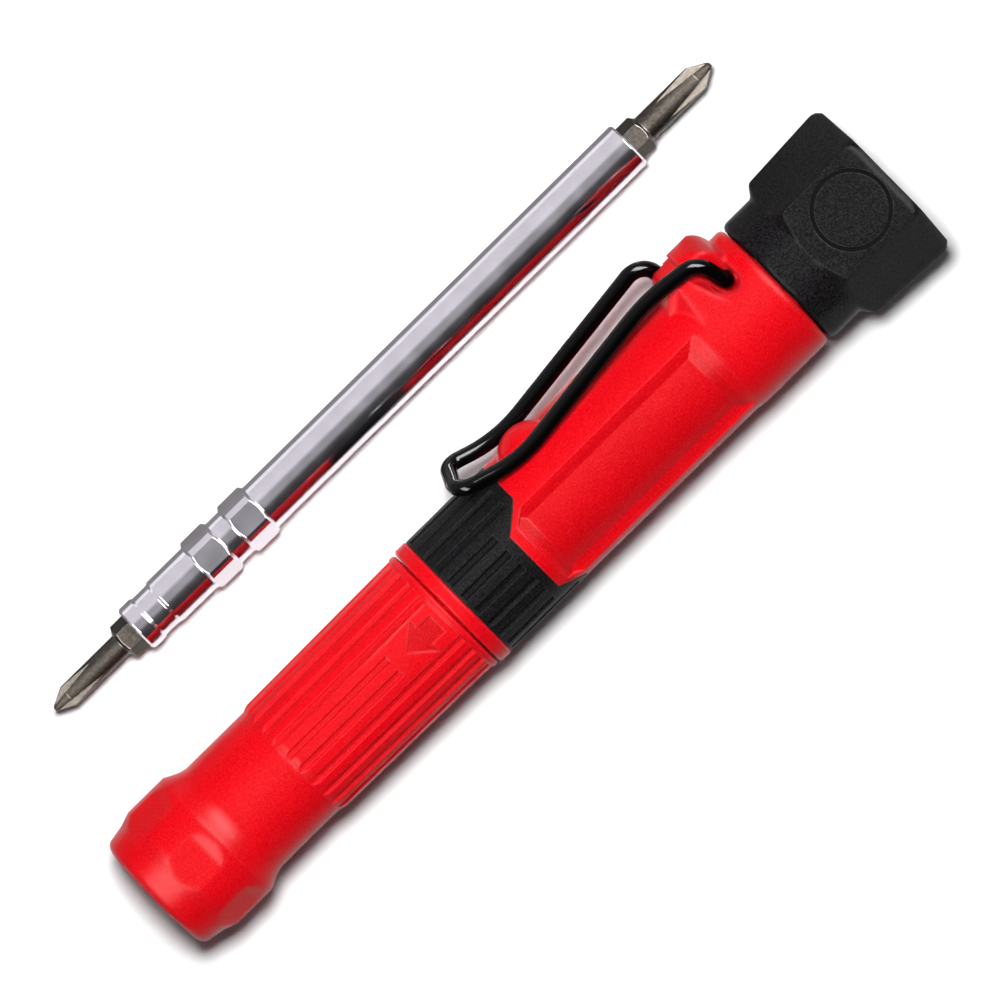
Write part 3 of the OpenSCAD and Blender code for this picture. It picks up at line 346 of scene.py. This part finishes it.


# Stations, radii and depths along the handle where its painted hollow shade and edges change
rib_span, rib_top_r = (36.4 * mm, 72.6 * mm), (12.8 * mm, 13.2 * mm)
ribs_begin, ribs_end = (36.5 * mm, 38 * mm), (72.4 * mm, 73 * mm)
groove_depths, groove_shade = (0.1 * mm, 0.45 * mm), 0.13
arrow_depths, arrow_shade = (0.54 * mm, 0.6 * mm), 0.1
panel_begins, panel_ends = (92 * mm, 94 * mm), (139 * mm, 142 * mm)
panel_radii, panel_shade = (13.1 * mm, 12.7 * mm), 0.12
band_radii, band_shade = (13.42 * mm, 13.12 * mm), 0.55
nose_end, boss_begins = (30 * mm, 36 * mm), (138 * mm, 142 * mm)
plain_softness, extra_softness = 0.5 * mm, 1.1 * mm


def handle_masks_group():
    """Masks in the handle's own frame: painted shade in hollows and band grooves, edge softness."""
    group = bpy.data.node_groups.new("handle masks", "ShaderNodeTree")
    for name in ("Painted Hollow Shade", "Edge Radius", "Band Groove"):
        group.interface.new_socket(name, in_out="OUTPUT", socket_type="NodeSocketFloat")
    out = group.nodes.new("NodeGroupOutput")
    place = group.nodes.new("ShaderNodeTexCoord")
    to_handle = group.nodes.new("ShaderNodeMapping")
    to_handle.inputs["Rotation"].default_value = (0, lean, 0)
    to_handle.inputs["Location"].default_value = -(Matrix.Rotation(lean, 3, "Y") @ nose_centre)
    apart = group.nodes.new("ShaderNodeSeparateXYZ")
    across = vector_maths(group, "MULTIPLY")
    across.inputs[1].default_value = (0, 1, 1)
    radius = vector_maths(group, "LENGTH")
    wire_up(group, (place, "Object", to_handle, "Vector"), (to_handle, 0, apart, 0),
            (to_handle, 0, across, 0), (across, 0, radius, 0))

    def along(span, low, high, soft=True):
        """A change along the handle."""
        change = ramp(group, *span, low, high, soft)
        wire_up(group, (apart, "X", change, "Value"))
        return change

    def joined(operation, first, second):
        """Two single values made into one."""
        step = maths(group, operation)
        wire_up(group, (first, 0, step, 0), (second, 0, step, 1))
        return step

    # The ribs' tops rise along the sleeve. What lies under them is a groove, or the deeper arrow
    # Under the ribs' tops, the grooves, the arrow and the panel's floor get painted shade
    depth = maths(group, "SUBTRACT")
    groove = ramp(group, *groove_depths, high=groove_shade, soft=True)
    arrow = ramp(group, *arrow_depths, high=arrow_shade)
    panel_floor = ramp(group, *panel_radii, high=panel_shade, soft=True)
    band_groove = ramp(group, *band_radii, high=band_shade, soft=True)
    wire_up(group, (along(rib_span, *rib_top_r, soft=False), 0, depth, 0),
            (radius, "Value", depth, 1), (depth, 0, groove, "Value"), (depth, 0, arrow, "Value"),
            (radius, "Value", panel_floor, "Value"), (radius, "Value", band_groove, "Value"))
    ribs = joined("MULTIPLY", along(ribs_begin, 0, 1), along(ribs_end, 1, 0, soft=False))
    panel = joined("MULTIPLY", along(panel_begins, 0, 1), along(panel_ends, 1, 0))
    rib_hollows = joined("MULTIPLY", joined("ADD", groove, arrow), ribs)
    hollows = joined("ADD", rib_hollows, joined("MULTIPLY", panel_floor, panel))
    softness = joined("ADD", along(nose_end, plain_softness + extra_softness, plain_softness),
                      along(boss_begins, 0, extra_softness))
    wire_up(group, (hollows, 0, out, "Painted Hollow Shade"), (softness, 0, out, "Edge Radius"),
            (band_groove, 0, out, "Band Groove"))
    return group


handle_masks = handle_masks_group()


def mask(material, *pairs):
    """Feeds the handle's masks, each with the socket it goes to, into a moulded material."""
    tree = material.node_tree
    masks = tree.nodes.new("ShaderNodeGroup")
    masks.node_tree = handle_masks
    skin = next(part for part in tree.nodes
                if part.type == "GROUP" and part.node_tree == moulded_skin)
    wire_up(tree, *[(masks, output, skin, into) for output, into in pairs])


red_nylon = moulded("red nylon", colour=(0.8, 0.002, 0.0085), edge_wear_and_sheen=(0.9, 0.03, 0.042),
                    roughness=0.33, grain_scale=3400, grain_height=0.25, edge_radius=0.5 * mm,
                    specular=0.07, speckle=0.6, dust=0.05)
# Painted shade darkens the handle's grooves, arrow and panel floor
mask(red_nylon, ("Painted Hollow Shade", "Painted Hollow Shade"), ("Edge Radius", "Edge Radius"))
finish_in(red_nylon, "front_sleeve")


# Drive bush, snap ring and retainer: a turned and broached steel bush in the nose, whose hexagon
# drives the shaft. A round spring wire sits in its inner groove, and a pressed ring behind it keeps
# it in.
def machined_metal_group():
    """Shared look of turned and plated metal: fine lines round the x axis, and faint stains."""
    group, given, out = skin_group("machined metal", (
        ("Colour", "Color", (0.6, 0.6, 0.6, 1)), ("Line Scale", "Float", 4000),
        ("Line Height", "Float", 0.05), ("Edge Radius", "Float", 0.2 * mm),
        ("Roughness", "Float", 0.3)))
    place = group.nodes.new("ShaderNodeTexCoord")
    squeeze = group.nodes.new("ShaderNodeMapping")
    squeeze.inputs["Scale"].default_value = (1, 0.02, 0.02)
    lines = noise(group, detail=2)
    stain = noise(group, detail=4, scale=220)
    soft_edge, bump = soft_bump(group, distance=0.02 * mm)
    stain_shade = ramp(group, low=0.88, high=1.1)
    stained = vector_maths(group, "SCALE")
    rough_range = ramp(group, low=0.7, high=1.35)
    rough = maths(group, "MULTIPLY")
    wire_up(group, (place, "Object", squeeze, "Vector"), (squeeze, 0, lines, "Vector"),
            (given, "Line Scale", lines, "Scale"), (place, "Object", stain, "Vector"),
            (given, "Edge Radius", soft_edge, "Radius"), (lines, 0, bump, "Height"),
            (given, "Line Height", bump, "Strength"), (bump, 0, out, "Normal"),
            (stain, 0, stain_shade, "Value"), (given, "Colour", stained, 0),
            (stain_shade, 0, stained, "Scale"), (stained, 0, out, "Colour"),
            (stain, 0, rough_range, "Value"), (rough_range, 0, rough, 0),
            (given, "Roughness", rough, 1), (rough, 0, out, "Roughness"))
    return group


machined_metal = machined_metal_group()


def machined(name, colour, roughness, line_scale, line_height, edge_radius):
    """A turned, ground or plated metal."""
    return surface(name, machined_metal, {
        "Colour": (*colour, 1), "Line Scale": line_scale, "Line Height": line_height,
        "Edge Radius": edge_radius, "Roughness": roughness}, metallic=1, specular=0.5)


turned_steel = machined("turned steel", colour=(0.5, 0.49, 0.48), roughness=0.3, line_scale=5000,
                        line_height=0.4, edge_radius=0.15 * mm)
finish_in(turned_steel, "drive_bush", "bush_retainer", "shaft_snap_ring")

# Rear body: the rear half of the handle, moulded in the same red nylon in one piece with the clip's
# boss, the dome that the clip rests on and a plain recessed panel.
finish_in(red_nylon, "rear_body")

# Grip band: black rubber moulded round the rear body and ribbed like the sleeve in front of it. The
# body's red tongue is set into its rear edge.
band_rubber = moulded("black grip rubber", colour=(0.0075, 0.007, 0.0078),
                      edge_wear_and_sheen=(0.03, 0.028, 0.03), roughness=0.42, grain_scale=3200,
                      grain_height=0.25, edge_radius=0.35 * mm, specular=0.05, speckle=3,
                      dust=0.03)
# Painted shade darkens the band's grooves
mask(band_rubber, ("Band Groove", "Painted Hollow Shade"))
finish_in(band_rubber, "grip_band")

# Spigot and seal: a keyed spigot of red nylon, pressed into the rear body, that the front sleeve
# slides on. A soft black rubber ring in its groove holds the sleeve by friction.
finish_in(red_nylon, "spigot_collar")
finish_in(band_rubber, "seal_ring")

# Storage tube: a plain extruded black liner inside the rear body, in which the stored shaft slides.
# A rubber disc lies at its bottom.
tube_plastic = moulded("extruded black liner", colour=(0.02, 0.02, 0.021),
                       edge_wear_and_sheen=(0.03, 0.03, 0.03), roughness=0.45, grain_scale=900,
                       grain_height=0.06, edge_radius=0.2 * mm)
finish_in(tube_plastic, "storage_tube")
finish_in(band_rubber, "shaft_bumper")

# Tail insert, head screw and washer: a brass insert, heated into the rear body's tail, takes a zinc
# plated cross-head screw, which holds the head on through a plain washer.
insert_brass = machined("insert brass", colour=(0.62, 0.42, 0.14), roughness=0.32, line_scale=3500,
                        line_height=0.3, edge_radius=0.1 * mm)
finish_in(insert_brass, "tail_insert")
zinc_plate = machined("zinc plate", colour=(0.6, 0.6, 0.58), roughness=0.28, line_scale=2500,
                      line_height=0.25, edge_radius=0.15 * mm)
finish_in(zinc_plate, "head_screw", "head_washer")

# Hexagonal head: a thick black moulding with a coarse matt texture and a plain ring groove on its
# upper flat. It is keyed on the body's hexagonal tail and held by the screw. Its corners are softer
# than those of the solid that it stands in for.
head_plastic = moulded("textured black plastic", colour=(0.0075, 0.0068, 0.0076),
                       edge_wear_and_sheen=(0.04, 0.037, 0.04), roughness=0.42, grain_scale=2600,
                       grain_height=0.35, edge_radius=0.4 * mm, specular=0.04, speckle=3,
                       dust=0.04)
# The ring groove's plastic is the head's plastic darkened as painted shade
groove_shade_plastic = moulded("black plastic darkened as painted shade in the ring groove", colour=(0.004, 0.0036, 0.004),
                         edge_wear_and_sheen=(0.006, 0.006, 0.006), roughness=0.4, grain_scale=1500,
                         grain_height=0.15, edge_radius=0.1 * mm, specular=0.03)
head_start = 157.5 * mm
head_len = handle_len - head_start
head_flat = 15.05 * mm
head_taper = math.radians(2.8)
head_blend = 0.5 * mm
flat_turn = math.pi / 3
rim_len, rim_drop, rim_curve = 1.6 * mm, 0.6 * mm, 1.5
# Distance from the head's front face and radius before the flats are cut, in millimetres
slope_start, slope_stop = 6.9, 9.6
head_profile = ((0, 13.2), (0.35, 13.75), (0.9, 14.05), (1.6, 14.1), (slope_start, 14.1),
                (slope_stop, 16.6), (25.2, 17.45), (26.4, 17.0), (27.3, 16.1))
handle_place = Matrix.Translation(nose_centre) @ Matrix.Rotation(-lean, 4, "Y")
to_axis = Matrix.Rotation(math.pi / 2, 4, "Y")


def turned_radius(along):
    """Radius of the head before its flats are cut, at a distance from its front face."""
    for (x0, r0), (x1, r1) in zip(head_profile, head_profile[1:]):
        if along <= x1 * mm:
            share = (along / mm - x0) / (x1 - x0)
            if x0 == slope_start:
                share = share * share * (3 - 2 * share)
            return (r0 + (r1 - r0) * share) * mm
    return head_profile[-1][1] * mm


def head_radius(along, angle):
    """Radius of the finished head: the turned form and the nearest flat, softly blended."""
    off_flat = (angle + flat_turn / 2) % flat_turn - flat_turn / 2
    from_end = head_len - along
    flat = head_flat - from_end * math.tan(head_taper)
    if from_end < rim_len:
        flat -= rim_drop * (1 - from_end / rim_len) ** rim_curve
    flat /= math.cos(off_flat)
    turned = turned_radius(along)
    near = max(head_blend - abs(turned - flat), 0) / head_blend
    return min(turned, flat) - near * near * head_blend / 4


def place_ring(ring, along):
    """Sets a ring of the head's skin out to its radius at one station."""
    for corner in ring:
        angle = math.atan2(corner.co.y, corner.co.z)
        reach = head_radius(along, angle)
        corner.co = (head_start + along, reach * math.sin(angle), reach * math.cos(angle))


# Stations in millimetres, close together on the front rim, the slope and the rear rim
front_rim = [0, 0.15, 0.35, 0.6, 0.9, 1.3, 1.8, 3, 4.5, 5.8]
slope = [6.4 + 0.2 * step for step in range(24)]
flanks = [11.2 + 0.6 * step for step in range(22)]
rear_rim = [24.6 + 0.3 * step for step in range(10)]
corners_around = 288
head = bmesh.new()
first_ring = bmesh.ops.create_circle(head, segments=corners_around, radius=head_flat,
                                     matrix=to_axis)["verts"]
front_face = bmesh.ops.contextual_create(head, geom=head.edges[:])["faces"][0]
place_ring(first_ring, 0)
rim = list(front_face.edges)
for station in front_rim[1:] + slope + flanks + rear_rim:
    grown = bmesh.ops.extrude_edge_only(head, edges=rim)["geom"]
    rim = [part for part in grown if isinstance(part, bmesh.types.BMEdge) and part.is_boundary]
    place_ring([part for part in grown if isinstance(part, bmesh.types.BMVert)], station * mm)
bmesh.ops.contextual_create(head, geom=rim)
bmesh.ops.recalc_face_normals(head, faces=head.faces)
head.transform(handle_place)
head_moulding = piece_from(head, "head_moulding")
head_moulding.data.materials.append(head_plastic)
head_moulding.data.materials.append(groove_shade_plastic)


def hollow(target, radius, start, stop, segments, inner=0, place=to_axis):
    """Cuts a round or hexagonal hollow, or a ring groove, out of a piece."""
    cutter = bmesh.new()
    middle = (0, 0, (start + stop) / 2)
    bmesh.ops.create_cone(cutter, cap_ends=True, segments=segments, radius1=radius, radius2=radius,
                          depth=stop - start)
    bmesh.ops.translate(cutter, verts=cutter.verts, vec=middle)
    if inner:
        core = bmesh.ops.create_cone(cutter, cap_ends=True, segments=segments, radius1=inner,
                                     radius2=inner, depth=stop - start)["verts"]
        bmesh.ops.translate(cutter, verts=core, vec=middle)
        core_faces = {face for corner in core for face in corner.link_faces}
        bmesh.ops.reverse_faces(cutter, faces=list(core_faces))
    cutter.transform(handle_place @ place)
    tool = piece_from(cutter, "cutter")
    cut = target.modifiers.new("hollow", "BOOLEAN")
    cut.operation = "DIFFERENCE"
    cut.solver = "EXACT"
    cut.object = tool
    bpy.context.view_layer.update()
    shown = target.evaluated_get(bpy.context.evaluated_depsgraph_get())
    finished = bpy.data.meshes.new_from_object(shown)
    target.modifiers.clear()
    target.data = finished
    bpy.data.objects.remove(tool)


overrun = 1 * mm
pocket_flats, pocket_stop = 18.7 * mm, 176.5 * mm
recess_flats, recess_start = 17 * mm, 179.2 * mm
screw_hole_r, screw_hole_start, screw_hole_stop = 2.05 * mm, 176 * mm, 180 * mm
ring_outer, ring_inner, ring_depth = 7.45 * mm, 6.7 * mm, 0.55 * mm
ring_from_end = 9 * mm
hollow(head_moulding, pocket_flats / math.sqrt(3), head_start - overrun, pocket_stop, segments=6)
hollow(head_moulding, recess_flats / math.sqrt(3), recess_start, handle_len + overrun, segments=6)
hollow(head_moulding, screw_hole_r, screw_hole_start, screw_hole_stop, segments=32)
ring_height = head_flat - ring_from_end * math.tan(head_taper)
on_flat = (Matrix.Translation((handle_len - ring_from_end, 0, ring_height))
           @ Matrix.Rotation(-head_taper, 4, "Y"))
hollow(head_moulding, ring_outer, -ring_depth, overrun, segments=96, inner=ring_inner,
       place=on_flat)

# Painted shade: the groove's floor and walls, by distance from its centre and depth, go darker
ring_slack, wall_depth, deepest = 0.05 * mm, 0.3 * mm, 1 * mm
to_flat = (handle_place @ on_flat).inverted()
for part in head_moulding.data.polygons:
    corners = [to_flat @ head_moulding.data.vertices[corner].co for corner in part.vertices]
    reach = [math.hypot(corner.x, corner.y) for corner in corners]
    depths = [-corner.z for corner in corners]
    in_ring = min(reach) > ring_inner - ring_slack and max(reach) < ring_outer + ring_slack
    if in_ring and max(depths) > wall_depth and min(depths) < deepest:
        part.material_index = 1
sharpest_smooth = math.radians(35)
head_moulding.data.shade_smooth()
head_moulding.data.set_sharp_from_angle(angle=sharpest_smooth)
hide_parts("hex_head")
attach(head_moulding, "case")

# Wire clip: one spring steel wire, bent to a loop and coated glossy black. Its two feet sit in
# staggered holes, one on each side of the boss, so the wire twists when the clip is lifted.
tree, shader, clip_coating = new_material("black clip coating")
place = tree.nodes.new("ShaderNodeTexCoord")
ripple = noise(tree, detail=2, scale=350)
coat_bump = tree.nodes.new("ShaderNodeBump")
coat_bump.inputs["Strength"].default_value = 0.2
coat_bump.inputs["Distance"].default_value = 0.08 * mm
coat_rough = ramp(tree, low=0.08, high=0.16)
shader.inputs["Base Color"].default_value = (0.001, 0.001, 0.0012, 1)
shader.inputs["Specular IOR Level"].default_value = 0.15
wire_up(tree, (place, "Object", ripple, "Vector"), (ripple, 0, coat_bump, "Height"),
        (ripple, 0, coat_rough, "Value"), (coat_rough, 0, shader, "Roughness"),
        (coat_bump, 0, shader, "Normal"))
finish_in(clip_coating, "wire_clip")

# Shaft: a turned steel tube, bright nickel plated, with two drive hexagons near its front end. Each
# end is broached for a quarter inch bit.
bright_plate = machined("bright nickel plate", colour=(0.72, 0.7, 0.74), roughness=0.15,
                        line_scale=5200, line_height=0.06, edge_radius=0.12 * mm)
finish_in(bright_plate, "shaft_tube")

# Bits: two double-ended bits of tool steel, forged to a cross point on the end that shows and
# finished in a dark brown oxide. They push into the shaft's ends.
oxide_steel = moulded("dark oxide steel", colour=(0.062, 0.054, 0.046),
                      edge_wear_and_sheen=(0.34, 0.3, 0.26), roughness=0.36, grain_scale=1900,
                      grain_height=0.14, edge_radius=0.2 * mm, speckle=1.6, metallic=1)
finish_in(oxide_steel, "bit_1", "bit_2")

# Bit rings: open rings bent from spring strip, which lie in grooves in the shaft's sockets and snap
# round the bits.
finish_in(turned_steel, "bit_ring_1", "bit_ring_2")
